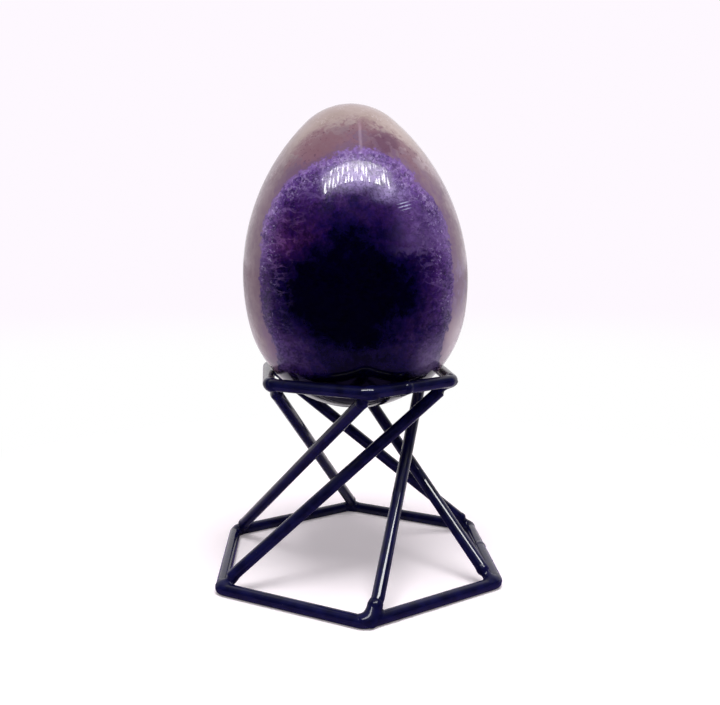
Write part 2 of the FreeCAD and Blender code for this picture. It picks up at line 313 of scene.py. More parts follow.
def rod_ends(node):
    """The centre of a rod's upper cut end and its direction up the climb, from the frame's own mesh."""
    mesh = frame["nodes"][node].data
    points = np.empty(len(mesh.vertices) * 3, np.float32)
    mesh.vertices.foreach_get("co", points)
    points = points.reshape(-1, 3).astype(float)
    direction = np.linalg.svd(points - points.mean(0), full_matrices=False)[2][0]
    direction *= np.sign(direction[2])
    along = points @ direction
    top = np.unique(points[along > along.max() - 0.1 * MM].round(7), axis=0)
    head = (top.min(0) + top.max(0)) / 2
    climb = np.linalg.svd(top - top.mean(0), full_matrices=False)[2][2]
    climb *= np.sign(climb[2])
    return head, climb


def rod_piece(name, path, across, upward, seed):
    """A rod of wire along a path, with both cut ends closed and their edges a little round.

    Each end runs from its centre to the edge, then round a quarter circle on to the wall.
    """
    along = np.concatenate([[0], np.cumsum(np.linalg.norm(np.diff(path, axis=0), axis=1))])
    length = along[-1]
    quarter = np.linspace(0, math.pi / 2, CUT_EDGE_ROWS)
    edge = WIRE_RADIUS - CUT_ROUNDING
    flat = np.array([0, 0.5, 0.85]) * edge
    end_reach = np.concatenate([flat, edge + CUT_ROUNDING * np.sin(quarter)])
    end_along = np.concatenate([0 * flat, CUT_ROUNDING * (1 - np.cos(quarter))])
    middle = np.linspace(CUT_ROUNDING, length - CUT_ROUNDING, ROD_ROWS)[1:-1]
    stations = np.concatenate([end_along, middle, length - end_along[::-1]])
    reach = np.concatenate([end_reach, np.full(len(middle), WIRE_RADIUS), end_reach[::-1]])

    def at(values):
        return np.stack([np.interp(stations, along, values[:, k]) for k in range(3)], 1)

    thickness = wire_thickness((stations / MM)[:, None], full_turn(WIRE_COLUMNS)[None], seed)
    radius = reach[:, None] * thickness / WIRE_RADIUS
    return skin(name, tube(at(path), at(across), at(upward), radius), closed=False)


BASE_RING = (BASE_CORNER_RADIUS, BASE_HEIGHT, 0.0)
TOP_RING = (TOP_CORNER_RADIUS, TOP_HEIGHT, TOP_RING_TURN)

# Each weld's neck in millimetres: how far it stands up and aside from the rod's middle, and its two radii
FOOT_NECKS = [
    ((0.00, 0.00), (1.46, 1.48)),
    ((-0.20, 0.10), (1.00, 1.15)),
    ((0.00, -0.15), (1.05, 1.20)),
    ((0.10, 0.00), (1.10, 1.15)),
    ((-0.10, 0.15), (1.00, 1.25)),
    ((-0.45, 0.05), (0.92, 1.10)),
]
HEAD_NECKS = [
    ((0.15, 0.00), (1.10, 1.05)),
    ((0.05, -0.10), (1.05, 1.15)),
    ((-0.10, 0.05), (1.15, 1.05)),
    ((0.20, 0.10), (1.00, 1.10)),
    ((0.10, 0.00), (1.05, 1.15)),
    ((0.20, -0.10), (1.00, 1.05)),
]


def weld_piece(name, ring, ring_point, away, cut, neck, seed):
    """Weld metal from a ring up to a rod's cut end, with a fillet on each."""
    (rise, aside), (ring_radius, rod_radius) = neck
    sideways = unit(np.cross([0.0, 0.0, 1.0], away))
    upward = np.cross(away, sideways)
    shift = (upward * rise + sideways * aside) * MM
    centre = ring_point + away * WELD_SETBACK + shift
    start = on_ring_axis(ring_point, ring)
    end = cut + away * NECK_OVERLAP + shift

    def field(points):
        ring_wire = ring_distance(points, *ring) + WELD_SINK
        rod = rod_distance(points, cut, away) + WELD_SINK
        metal = neck_distance(points, start, end, ring_radius * MM, rod_radius * MM)
        lumps = ripple(points[..., 0] / MM, (0.5, 1.9, seed))
        lumps += ripple(points[..., 2] / MM, (0.5, 2.3, 2 * seed))
        metal += WELD_LUMPS * lumps
        return smooth_union(smooth_union(metal, ring_wire, RING_FILLET), rod, ROD_FILLET)

    return bead_piece(name, centre, away, WELD_REACH, field)


def leg_pieces(number, enamel, weld_enamel):
    """One leg's rod and the welds at its ends."""
    node = f"leg_{number}"
    head, climb = rod_ends(node)
    foot_point = head - climb * (head[2] - BASE_HEIGHT) / climb[2]
    head_point = head + climb * (TOP_HEIGHT - head[2]) / climb[2]
    corner = FRONT_CORNER + (number - 1) * 2 * HALF_CORNER
    foot_climb = climb
    if number == 1:
        sideways = heading(corner - TURN / 4)
        sideways = unit(sideways - climb * (sideways @ climb))
        foot_climb = climb * math.cos(CROOK_ANGLE) - sideways * math.sin(CROOK_ANGLE)
        knee_point = foot_point + climb * CROOK_LENGTH
        foot_point = knee_point - foot_climb * CROOK_LENGTH
        knee = CROOK_RADIUS * math.tan(CROOK_ANGLE / 2)
        bend = np.linspace(CROOK_ANGLE, 0, CROOK_ROWS)[:, None]
        pivot = knee_point + climb * knee + sideways * CROOK_RADIUS
        low = foot_point + foot_climb * FOOT_SETBACK
        arc = pivot - CROOK_RADIUS * (np.cos(bend) * sideways + np.sin(bend) * climb)
        upper = np.linspace(arc[-1], head, LEG_PATH_ROWS)[1:]
        path = np.vstack([low[None], arc, upper])
        tilt = np.concatenate([[CROOK_ANGLE], bend[:, 0], np.zeros(len(upper))])[:, None]
        across = np.cos(tilt) * sideways + np.sin(tilt) * climb
        upward = np.tile(np.cross(climb, sideways), (len(path), 1))
    else:
        low = foot_point + climb * FOOT_SETBACK
        path = np.linspace(low, head, LEG_PATH_ROWS)
        sideways = unit(np.cross([0.0, 0.0, 1.0], climb))
        across = np.tile(sideways, (len(path), 1))
        upward = np.tile(np.cross(climb, sideways), (len(path), 1))
    rod = rod_piece(f"{node}_rod", path, across, upward, number)
    dress(rod, node, "stand", enamel)
    neck = FOOT_NECKS[number - 1]
    foot = weld_piece(f"foot_weld_{number}_metal", BASE_RING, foot_point, foot_climb, low, neck, number)
    dress(foot, f"foot_weld_{number}", "stand", weld_enamel)
    neck = HEAD_NECKS[number - 1]
    top = weld_piece(f"head_weld_{number}_metal", TOP_RING, head_point, -climb, head, neck, number + 7)
    dress(top, f"head_weld_{number}", "stand", weld_enamel)


def seam_piece(name, ring, side, offset, seed):
    """The bead that closes a ring: the wire swells by (1 - (s / half length)^2)^2 along it."""
    corner_radius, height, turn = ring
    out = heading(side + turn)
    along = heading(side + turn + TURN / 4)
    centre = out * corner_radius * math.cos(HALF_CORNER) + along * offset + np.array([0, 0, height])
    half_length = SEAM_BEAD_LENGTH / 2

    def field(points):
        offset_from = points - centre
        length = offset_from @ along
        width = np.linalg.norm(offset_from - length[..., None] * along, axis=-1)
        hump = np.maximum(1 - (length / half_length) ** 2, 0) ** 2
        around = np.arctan2(offset_from[..., 2], offset_from @ out)
        uneven = 0.8 + ripple(around, (0.12, 2, seed), (0.06, 5, 2 * seed))
        return width - WIRE_RADIUS + WELD_SINK - (SEAM_BEAD_PROUD + WELD_SINK) * hump * uneven

    return bead_piece(name, centre, along, WELD_REACH, field)


def egg_piece():
    """The egg's skin: a profile turned about a leaning axis.

    The profile's height and reach come from three arcs that touch: the butt ball, a long flank and
    the tip ball. Faint hand-polished flats, a sum of sines in longitude and latitude, are taken off.
    """
    centres_apart = EGG_HEIGHT - BUTT_RADIUS - TIP_RADIUS
    taper = (BUTT_RADIUS - TIP_RADIUS) / (EGG_HALF_WIDTH - BUTT_RADIUS)
    excess = (EGG_HALF_WIDTH - TIP_RADIUS) * (BUTT_RADIUS - TIP_RADIUS)
    girth = (math.sqrt(centres_apart**2 + taper * (centres_apart**2 - excess)) - centres_apart) / taper
    flank = (girth**2 / (EGG_HALF_WIDTH - BUTT_RADIUS) + BUTT_RADIUS + EGG_HALF_WIDTH) / 2
    inset = EGG_HALF_WIDTH - flank
    low = math.atan2(-girth, -inset)
    high = math.atan2(centres_apart - girth, -inset)
    slope = np.linspace(-math.pi / 2, math.pi / 2, EGG_ROWS)[:, None]
    reach = np.select(
        [slope < low, slope > high],
        [BUTT_RADIUS * np.cos(slope), TIP_RADIUS * np.cos(slope)],
        inset + flank * np.cos(slope),
    )
    height = np.select(
        [slope < low, slope > high],
        [BUTT_RADIUS * np.sin(slope), centres_apart + TIP_RADIUS * np.sin(slope)],
        girth + flank * np.sin(slope),
    )
    longitude = full_turn(EGG_COLUMNS)[None]
    flats = ripple(longitude + 1.3 * slope, (0.03, 3, 0.4), (0.02, 5, 1.9))
    flats += ripple(slope, (0.02, 7, 0.7))
    flats = (flats - POLISH_FLATS) * MM * np.cos(slope) ** 2 - POLISH_ALLOWANCE
    lean = heading(EGG_LEAN_HEADING) * math.sin(EGG_LEAN)
    axis = lean + np.array([0, 0, math.cos(EGG_LEAN)])
    across = unit(np.cross([0.0, 1.0, 0.0], axis))
    upward = np.cross(axis, across)
    ways = np.cos(longitude)[..., None] * across + np.sin(longitude)[..., None] * upward
    reach = reach + flats * np.cos(slope)
    height = height + flats * np.sin(slope)
    rows = np.array(BUTT_CENTRE) + height[..., None] * axis + reach[..., None] * ways
    return skin("egg_polished", rows, closed=False)


# The studio, in metres where nothing else is said
BACKDROP = (254, 248, 255)
FLOOR_LIFT = 0.17
AMBIENT = 0.45
TABLE_REACH = 2.5
# The paper's front edge on the table, which the enamel and the egg's underside mirror
PAPER_FRONT = -75 * MM
PAPER_FADE = 4 * MM
# Behind the stand's axis the mirrored table turns pale over this depth
PALE_BEHIND = 60 * MM
# The table fades to plain white and then to the backdrop, each between two distances from the stand
WHITE_FROM, WHITE_TO = 0.1, 0.17
BACKDROP_FROM, BACKDROP_TO = 0.3, 0.7
CAMERA_PLACE = Vector((-10.49, -210.35, 87.66)) * MM
CAMERA_TARGET = Vector((0.94, -0.05, 54.57)) * MM
# In millimetres, as lenses are given
LENS = 42.54
SENSOR = 36
# Each lamp's place, what it faces, its two sizes and its power in watts
OVERHEAD_LAMP = ((0.02, -0.165, 0.75), (0, 0, 0.05), (0.44, 0.34), 5.1)
STRIP_LAMP = ((0.025, -0.271, 0.594), (0, 0, 0.09), (0.73, 0.125), 6.25)


def effect(name, output, wire, **defaults):
    """A shader node group that takes a vector and some numbers, and gives the number that wire makes."""
    group = bpy.data.node_groups.new(name, "ShaderNodeTree")
    group.interface.new_socket("Vector", in_out="INPUT", socket_type="NodeSocketVector")
    for label, value in defaults.items():
        socket = group.interface.new_socket(label, in_out="INPUT", socket_type="NodeSocketFloat")
        socket.default_value = value
    group.interface.new_socket(output, in_out="OUTPUT", socket_type="NodeSocketFloat")
    board = Board(group)
    entry = board.add("NodeGroupInput").outputs
    board.add("NodeGroupOutput", {output: wire(board, entry)})
    return group


class Board:
    """A node tree that is being wired up."""

    def __init__(self, tree):
        self.tree = tree

    def add(self, kind, links=(), **settings):
        """A node with its settings, and links or values for its inputs given by name or number."""
        node = self.tree.nodes.new(kind)
        for name, value in settings.items():
            setattr(node, name, value)
        for socket, value in dict(links).items():
            self.feed(node.inputs[socket], value)
        return node

    def place(self, group, **links):
        """A copy of an effect, as its output."""
        node = self.tree.nodes.new("ShaderNodeGroup")
        node.node_tree = group
        for socket, value in links.items():
            self.feed(node.inputs[socket], value)
        return node.outputs[0]

    def feed(self, socket, value):
        """Puts a link or a plain value into a socket."""
        if isinstance(value, bpy.types.NodeSocket):
            self.tree.links.new(value, socket)
        else:
            socket.default_value = value

    def math(self, operation, *values):
        return self.add("ShaderNodeMath", dict(enumerate(values)), operation=operation).outputs[0]

    def vector(self, operation, *values):
        return self.add("ShaderNodeVectorMath", dict(enumerate(values)), operation=operation).outputs[0]

    def scaled(self, vector, amount):
        node = self.add("ShaderNodeVectorMath", {0: vector, "Scale": amount}, operation="SCALE")
        return node.outputs[0]

    def length(self, vector):
        return self.add("ShaderNodeVectorMath", {0: vector}, operation="LENGTH").outputs["Value"]

    def total(self, *values):
        """Values added up."""
        result = values[0]
        for value in values[1:]:
            result = self.math("ADD", result, value)
        return result

    def product(self, *values):
        result = values[0]
        for value in values[1:]:
            result = self.math("MULTIPLY", result, value)
        return result

    def remap(self, value, low, high, start=0.0, end=1.0, smooth=True):
        """A value's place between two others, smoothly, as a share of another range."""
        links = {"Value": value, "From Min": low, "From Max": high, "To Min": start, "To Max": end}
        step = "SMOOTHSTEP" if smooth else "LINEAR"
        return self.add("ShaderNodeMapRange", links, interpolation_type=step).outputs["Result"]

    def spread(self, value, start, end, low=0.0, high=1.0):
        """A value between two others, carried in a straight line to another range."""
        return self.remap(value, low, high, start, end, smooth=False)

    def spot(self, vector, centre, size):
        """1 at a centre, fading to 0 at the edge of an ellipsoid of this size."""
        reach = self.length(self.vector("DIVIDE", self.vector("SUBTRACT", vector, centre), size))
        return self.remap(reach, 1.0, 0.0)

    def noise(self, vector, scale, detail=3.0, roughness=0.5, output="Fac"):
        links = {"Vector": vector, "Scale": scale, "Detail": detail, "Roughness": roughness}
        return self.add("ShaderNodeTexNoise", links).outputs[output]

    def cells(self, vector, scale, feature="F1", randomness=1.0):
        links = {"Vector": vector, "Scale": scale, "Randomness": randomness}
        return self.add("ShaderNodeTexVoronoi", links, feature=feature).outputs

    def stretch(self, vector, scale, location=(0, 0, 0), rotation=(0, 0, 0)):
        links = {"Vector": vector, "Location": location, "Rotation": rotation, "Scale": scale}
        return self.add("ShaderNodeMapping", links).outputs[0]

    def millimetres(self, place, centre=(0, 0, 0)):
        """A place in metres, given in millimetres from a centre."""
        return self.stretch(place, (1 / MM,) * 3, tuple(-v / MM for v in centre))

    def warp(self, vector, scale, amount):
        """A vector pushed about by noise."""
        push = self.vector("SUBTRACT", self.noise(vector, scale, 2.0, output="Color"), (0.5, 0.5, 0.5))
        return self.vector("ADD", vector, self.scaled(push, amount))

    def blend(self, factor, first, second, mode="MIX"):
        """Two colours mixed."""
        node = self.add("ShaderNodeMix", {"Factor": factor}, data_type="RGBA", blend_type=mode)
        self.feed(node.inputs[6], first)
        self.feed(node.inputs[7], second)
        return node.outputs[2]

    def mixed(self, factor, first, second):
        """Two shaders mixed."""
        return self.add("ShaderNodeMixShader", {0: factor, 1: first, 2: second}).outputs[0]

    def tint(self, colour, shade, *shares):
        """A colour mixed towards a colour as a screen shows it, by the product of some shares."""
        return self.blend(self.product(*shares), colour, screen(*shade))

    def filter(self, colour, factors, *shares):
        """A colour whose red, green and blue are multiplied, by the product of some shares."""
        return self.blend(self.product(*shares), colour, (*factors, 1), "MULTIPLY")

    def shade_by_depth(self, depth, stops):
        """A colour for each depth. The stops are (millimetres, red, green, blue), shallowest first."""
        shallowest, deepest = stops[0][0], stops[-1][0]
        node = self.add("ShaderNodeValToRGB", {"Fac": self.spread(depth, 0, 1, shallowest, deepest)})
        elements = node.color_ramp.elements
        while len(elements) < len(stops):
            elements.new(1.0)
        for element, (millimetres, *colour) in zip(elements, stops):
            element.position = (millimetres - shallowest) / (deepest - shallowest)
            element.color = screen(*colour)
        return node.outputs["Color"]


def screen(red, green, blue):
    """A colour as a screen shows it, 0 to 255, in the renderer's linear values."""
    return tuple(
        v / 12.92 if v <= 0.04045 else ((v + 0.055) / 1.055) ** 2.4
        for v in (red / 255, green / 255, blue / 255)
    ) + (1,)


def wire_clouds(board, entry):
    """Soft clouds: noise whose places are pushed about by wider noise."""
    pushed = board.warp(entry["Vector"], 0.5, entry["Swirl"])
    value = board.noise(board.scaled(pushed, entry["Scale"]), 1.0, 4.0, 0.55)
    return board.remap(value, entry["Low"], entry["High"])


def wire_specks(board, entry):
    """Separate specks: a dot in the middle of a share of random cells."""
    cell = board.cells(board.scaled(entry["Vector"], entry["Scale"]), 1.0)
    chance = board.add("ShaderNodeSeparateColor", {0: cell["Color"]}).outputs[0]
    chosen = board.math("LESS_THAN", chance, entry["Share"])
    core = board.math("MULTIPLY", entry["Size"], 0.4)
    dot = board.remap(cell["Distance"], core, entry["Size"], 1.0, 0.0)
    return board.math("MULTIPLY", dot, chosen)


def wire_veins(board, entry):
    """A net of thin lines along the borders of bent cells, broken up by noise."""
    pushed = board.warp(entry["Vector"], 0.7, entry["Swirl"])
    scaled = board.scaled(pushed, entry["Scale"])
    border = board.cells(scaled, 1.0, "DISTANCE_TO_EDGE")["Distance"]
    line = board.remap(border, 0.0, entry["Width"], 1.0, 0.0)
    gaps = board.remap(board.noise(scaled, 0.8, 3.0), 0.42, 0.6)
    return board.math("MULTIPLY", line, gaps)


CLOUDS = effect("soft_clouds", "Cloud", wire_clouds, Scale=1.0, Swirl=1.0, Low=0.3, High=0.7)
SPECKS = effect("specks", "Speck", wire_specks, Scale=1.0, Size=0.3, Share=0.3)
VEINS = effect("veins", "Vein", wire_veins, Scale=1.0, Swirl=1.0, Width=0.05)


def new_material(name):
    """A material with a Principled shader, a board to wire it on and its object coordinates."""
    material = bpy.data.materials.new(name)
    material.use_nodes = True
    board = Board(material.node_tree)
    shader = material.node_tree.nodes["Principled BSDF"]
    place = board.add("ShaderNodeTexCoord").outputs["Object"]
    return material, board, shader, place


def quartz_sides(board, colour, stone, split, wisps):
    """Painted shade on the left flank, and smokier, paler and more violet places that the quartz has at its
    sides and top.
    """
    # Painted shade: the left flank is darkened and greyed, from a little below its widest part upward.
    shaded_left_flank = board.product(board.remap(split["X"], -12, -20), board.remap(split["Z"], -7, -2))
    colour = board.filter(colour, (0.74, 0.7, 0.74), shaded_left_flank, 0.6)
    smoky = board.product(board.remap(split["Z"], 24, 32), board.remap(split["X"], 12, -4))
    colour = board.filter(colour, (0.78, 0.76, 0.77), smoky)
    pale_side = board.spot(stone, (24, -11, -9), (8, 14, 12))
    colour = board.tint(colour, (205, 190, 200), pale_side, 0.8)
    violet_side = board.spot(stone, (24, -13, 4), (7, 11, 11))
    violet_side = board.product(violet_side, board.remap(wisps, 0.1, 0.9, 0.4, 1.3))
    return board.tint(colour, (150, 132, 166), violet_side, 0.7)


def iron_stains(board, colour, stone, split, depth, cloudy):
    """Iron-stained crystals: broken patches along the top of the purple, and a few dark pits in them. Beside
    them, the quartz is darker mauve at the right shoulder.
    """
    near_purple = board.product(
        board.remap(depth, -8.5, -5.5),
        board.remap(depth, 0.0, -1.5),
        board.remap(split["Z"], 26, 33),
    )
    stain = board.place(CLOUDS, Vector=stone, Scale=0.21, Swirl=6.0, Low=0.44, High=0.54)
    stained = board.product(stain, near_purple)
    colour = board.tint(colour, (124, 90, 102), stained, 0.7)
    patchy = board.place(CLOUDS, Vector=stone, Scale=0.42, Swirl=3.0, Low=0.42, High=0.56)
    brown = board.spot(stone, (5, -14, 35.8), (6, 8, 4.4))
    brown = board.product(brown, board.remap(patchy, 0, 1, 0.6, 2.0))
    colour = board.tint(colour, (100, 70, 90), board.math("MINIMUM", brown, 0.85))
    pink = board.spot(stone, (-7.8, -12.5, 36), (7.5, 9, 5.2))
    pink = board.product(pink, board.remap(patchy, 1, 0, 0.8, 2.0))
    colour = board.tint(colour, (119, 88, 99), board.math("MINIMUM", pink, 0.8))
    # Darker mauve at the right shoulder, beside the purple.
    shoulder = board.spot(stone, (19, -9, 19), (8, 11, 13))
    shoulder = board.product(shoulder, board.remap(cloudy, 0.2, 0.8, 0.3, 1.0))
    colour = board.tint(colour, (106, 80, 108), shoulder, 0.75)
    pits = board.remap(board.noise(stone, 1.25, 3.0, 0.6), 0.57, 0.68)
    return board.tint(colour, (88, 60, 80), board.product(pits, stained), 0.7)


def quartz_behind(board, colour, stone, depth):
    """Faint growth bands, violet ghosts and a few healed cracks, away from the purple."""
    back = board.remap(depth, -9, -22)
    sheets = board.stretch(board.warp(stone, 0.12, 6.0), (0.1, 1.0, 0.1))
    bands = board.remap(board.noise(sheets, 0.42, 3.0, 0.55), 0.38, 0.62)
    colour = board.tint(colour, (168, 150, 166), board.product(bands, back), 0.45)
    ghosts = board.place(CLOUDS, Vector=stone, Scale=0.075, Swirl=9.0, Low=0.47, High=0.66)
    colour = board.tint(colour, (140, 116, 160), ghosts, back, 0.42)
    crack = board.place(VEINS, Vector=stone, Scale=0.075, Swirl=9.0, Width=0.02)
    colour = board.tint(colour, (226, 216, 224), crack, back, 0.6)
    hair = board.place(VEINS, Vector=stone, Scale=0.24, Swirl=5.0, Width=0.03)
    return board.tint(colour, (222, 212, 218), hair, board.remap(depth, -4, -9), 0.3)


def rind_colour(board, stone, split, depth):
    """Pale quartz round the amethyst: milky and violet at the sides, beige and stained at the top, with
    painted shade on the left flank and underneath.
    """
    cloudy = board.place(CLOUDS, Vector=stone, Scale=0.12, Swirl=5.0, Low=0.33, High=0.67)
    wisps = board.place(CLOUDS, Vector=stone, Scale=0.4, Swirl=3.0, Low=0.35, High=0.7)
    clouded_depth = board.total(depth, board.spread(cloudy, -2.2, 2.2), board.spread(wisps, -0.8, 0.8))
    colour = board.shade_by_depth(clouded_depth, [
        (-44, 184, 168, 184),
        (-32, 202, 188, 200),
        (-18, 204, 191, 199),
        (-13, 186, 171, 180),
        (-9, 166, 149, 158),
        (-6, 144, 124, 134),
        (-3, 130, 107, 122),
        (0, 118, 92, 120),
    ])
    beige = board.product(board.remap(split["Z"], 27, 40), board.remap(depth, -3, -8))
    colour = board.tint(colour, (180, 163, 150), beige, 0.6)
    colour = quartz_sides(board, colour, stone, split, wisps)
    colour = iron_stains(board, colour, stone, split, depth, cloudy)
    colour = quartz_behind(board, colour, stone, depth)
    # Painted shade, and partly the purple seen through the quartz: the quartz darkens towards the bottom,
    # down in the top ring.
    underside = board.remap(split["Z"], -17, -25)
    return board.tint(colour, (62, 48, 74), underside, 0.8)


def purple_by_depth(board, split, depth, broad, lumps, grain):
    """The purple itself: darker with depth, at mid height and underneath, and grained like crystals."""
    uneven = board.total(
        board.spread(broad, -1.3, 1.3),
        board.spread(lumps, -1.1, 1.1),
        board.spread(grain, -0.9, 0.9, 0.3, 0.7),
    )
    inside = board.remap(depth, 0.3, 3.5)
    waist = board.product(board.remap(split["Z"], 12, 5), board.remap(split["Z"], -9, -2))
    leftward = board.spread(split["X"], 2.7, -0.6, -19, 17)
    upper_half = board.remap(split["Z"], 9, 15, 0.0, -1.5)
    underside = board.remap(split["Z"], -14, -20, 0.0, 5.0)
    seen_depth = board.total(
        depth, board.product(uneven, inside), board.product(waist, leftward), upper_half, underside
    )
    colour = board.shade_by_depth(seen_depth, [
        (-1.0, 117, 89, 147),
        (0.3, 93, 66, 126),
        (1.3, 77, 50, 111),
        (2.4, 68, 41, 101),
        (3.5, 63, 37, 94),
        (4.8, 49, 25, 80),
        (6.2, 34, 14, 68),
        (7.6, 18, 6, 56),
        (8.8, 6, 2, 42),
        (10.0, 1, 0, 17),
    ])
    light = board.product(board.spread(grain, 0.3, 1.8, 0.3, 0.7), board.spread(lumps, 0.7, 1.25))
    light = board.add("ShaderNodeCombineColor", {0: light, 1: light, 2: light}).outputs[0]
    return board.blend(board.remap(depth, 0.0, 1.5, 0.3, 0.9), colour, light, "MULTIPLY")


def crystal_faces(board, colour, stone, split, depth, columns):
    """Dark cracks between the crystals, and pale ones along their slanting sides."""
    cracks = board.place(VEINS, Vector=columns, Scale=0.3, Swirl=5.0, Width=0.2)
    colour = board.filter(colour, (0.34, 0.26, 0.5), cracks, 0.8)
    slanted = board.stretch(stone, (0.7, 0.4, 1.4), (9, 2, 5), (0, math.radians(28), 0))
    sides = board.place(VEINS, Vector=slanted, Scale=0.36, Swirl=3.0, Width=0.14)
    shown = board.product(board.remap(depth, 8.0, 5.0), board.remap(split["Z"], -4, 10, 0.06, 0.28))
    return board.tint(colour, (128, 102, 164), sides, shown)


def purple_places(board, colour, stone, split, lumps, grain):
    """Wine at the upper left, a lilac ledge at the right, a painted highlight glow under the polishing
    strokes and dusty lower parts.
    """
    wine = board.spot(stone, (-14, -21, 14), (11, 14, 12))
    colour = board.filter(colour, (1.25, 0.75, 0.7), wine, 0.7)
    ledge = board.product(
        board.remap(board.total(split["Z"], board.product(lumps, 2.5)), 12.6, 14.6),
        board.remap(split["Z"], 27, 20),
        board.remap(split["X"], 4, 14),
        board.math("MULTIPLY_ADD", lumps, 0.7, 0.3),
    )
    colour = board.tint(colour, (116, 92, 146), ledge, 0.42)
    # Painted highlight: a pale lilac glow spread under the shoulder's polishing strokes, round where the
    # strip lamp is mirrored.
    painted_highlight_glow = board.math(
        "MAXIMUM",
        board.spot(stone, (-1.5, -20, 28.0), (10, 9, 4.2)),
        board.spot(stone, (6.3, -21, 25), (6.5, 9, 3.4)),
    )
    painted_highlight_glow = board.product(painted_highlight_glow, board.math("MULTIPLY_ADD", lumps, 0.6, 0.3))
    painted_highlight_glow = board.product(painted_highlight_glow, board.remap(grain, 0.3, 0.6, 0.4, 1.2))
    colour = board.tint(colour, (162, 143, 198), board.math("MINIMUM", painted_highlight_glow, 0.62))
    colour = board.filter(colour, (0.92, 1.3, 0.82), board.remap(split["Z"], 4, -12))
    dim = board.product(board.spot(stone, (15.5, -16, 20.5), (8, 9, 9)), 1.2)
    colour = board.filter(colour, (0.68, 0.64, 0.76), board.math("MINIMUM", dim, 1.0))
    dusty = board.product(board.spot(stone, (18, -19, -13), (8, 9, 9)), board.remap(lumps, 0, 1, 0.5, 1.3))
    return board.tint(colour, (136, 124, 154), dusty, 0.4)


def frost_and_painted_glints(board, colour, stone, split, depth, columns):
    """Pale veins and frost flakes in the purple's outer millimetres, the flakes partly painted sparkle, with
    painted glints as fine sparks; most of them in the upper half.
    """
    fringe = board.math("MULTIPLY", board.remap(depth, 0.0, 0.9), board.remap(depth, 5.0, 2.0))
    veins = board.place(VEINS, Vector=columns, Scale=0.5, Swirl=3.5, Width=0.16)
    colour = board.tint(colour, (178, 154, 204), veins, fringe, board.remap(split["Z"], 14, 26), 0.4)
    # Frost flakes, partly painted sparkle: pale flecks that stand for glints in the crystals.
    frost_flakes_and_sparkle = board.stretch(stone, (0.95, 0.4, 1.15), (3, 7, 1), (0, math.radians(35), 0))
    frost_flakes_and_sparkle = board.remap(board.noise(frost_flakes_and_sparkle, 1.4, 4.0, 0.68), 0.54, 0.68)
    patches = board.remap(board.noise(stone, 0.2, 2.0), 0.44, 0.58)
    outer = board.product(
        board.remap(depth, 0.0, 0.9),
        board.remap(depth, 6.5, 2.5),
        board.remap(split["Z"], -10, 12, 0.15, 1.0),
    )
    frost_flakes_and_sparkle = board.product(frost_flakes_and_sparkle, outer, board.remap(patches, 0, 1, 0.2, 1.0))
    colour = board.tint(colour, (176, 158, 208), frost_flakes_and_sparkle, 0.65)
    # Painted glints: fine bright sparks of sparkle.
    painted_glints = board.place(SPECKS, Vector=columns, Scale=3.1, Size=0.3, Share=0.25)
    painted_glints = board.product(painted_glints, outer, board.remap(patches, 0, 1, 0.2, 0.5))
    return board.tint(colour, (160, 138, 190), painted_glints)


def painted_glint_marks(board, colour, stone, split, grain):
    """Three short slanting polishing marks below the right shoulder, painted pale as the glints they catch:
    a sine of height and place, inside a spot.
    """
    # Painted glints along the polishing marks.
    rows = board.math("SINE", board.total(board.product(split["Z"], 8.4), board.product(split["X"], -2.2)))
    marks = board.product(board.spot(stone, (9.4, -20, 22.2), (2.2, 6, 1.7)), board.remap(rows, 0.2, 0.9))
    marks = board.product(marks, board.remap(grain, 0.35, 0.55), 1.6)
    return board.tint(colour, (190, 192, 222), board.math("MINIMUM", marks, 0.8))


def amethyst_colour(board, stone, split, depth):
    """The purple crystals: lilac at their edge and black in their depth."""
    columns = board.stretch(stone, (1, 0.35, 1))
    broad = board.place(CLOUDS, Vector=columns, Scale=0.13, Swirl=4.0, Low=0.25, High=0.75)
    lumps = board.place(CLOUDS, Vector=columns, Scale=0.5, Swirl=2.5, Low=0.3, High=0.7)
    grain = board.noise(columns, 1.5, 4.0, 0.65)
    colour = purple_by_depth(board, split, depth, broad, lumps, grain)
    colour = crystal_faces(board, colour, stone, split, depth, columns)
    colour = purple_places(board, colour, stone, split, lumps, grain)
    colour = frost_and_painted_glints(board, colour, stone, split, depth, columns)
    return painted_glint_marks(board, colour, stone, split, grain)


def purple_depth(board, stone, split):
    """How far the polished skin lies inside the purple layer, in millimetres, and below 0 outside it.

    The layer starts at one Y. Its border is frayed, and reaches further at the girdle, the shoulders
    and the crown, and right round the egg's underside.
    """
    border = board.place(CLOUDS, Vector=stone, Scale=0.35, Swirl=2.0, Low=0.2, High=0.8)
    underside = board.remap(split["Z"], -7, -26, 0.0, 15.0)
    girdle = board.product(board.remap(split["Z"], 33, 18), board.remap(split["Z"], -14, -4))
    girdle = board.product(girdle, board.remap(split["X"], -12, 12, 2.1, 0.9))
    left_shoulder = board.total(split["X"], board.product(split["Z"], -0.55))
    left_shoulder = board.product(
        board.remap(left_shoulder, -22.5, -27, 0.0, 1.8),
        board.remap(split["Z"], 10, 19),
        board.remap(split["Z"], 33, 27),
    )
    right_shoulder = board.product(board.spot(stone, (16, -13, 19), (9, 11, 11)), 2.2)
    right_crown = board.product(board.spot(stone, (10, -14, 31), (8, 10, 6)), 1.5)
    crown = board.product(board.spot(stone, (1.5, -15, 33.5), (9, 8, 5)), 0.9)
    return board.total(
        board.math("SUBTRACT", PURPLE_FROM, split["Y"]),
        board.spread(border, -0.4, 0.4),
        board.spread(board.noise(stone, 1.0, 3.0, 0.6), -0.45, 0.45, 0.35, 0.65),
        underside,
        girdle,
        left_shoulder,
        right_shoulder,
        right_crown,
        crown,
    )


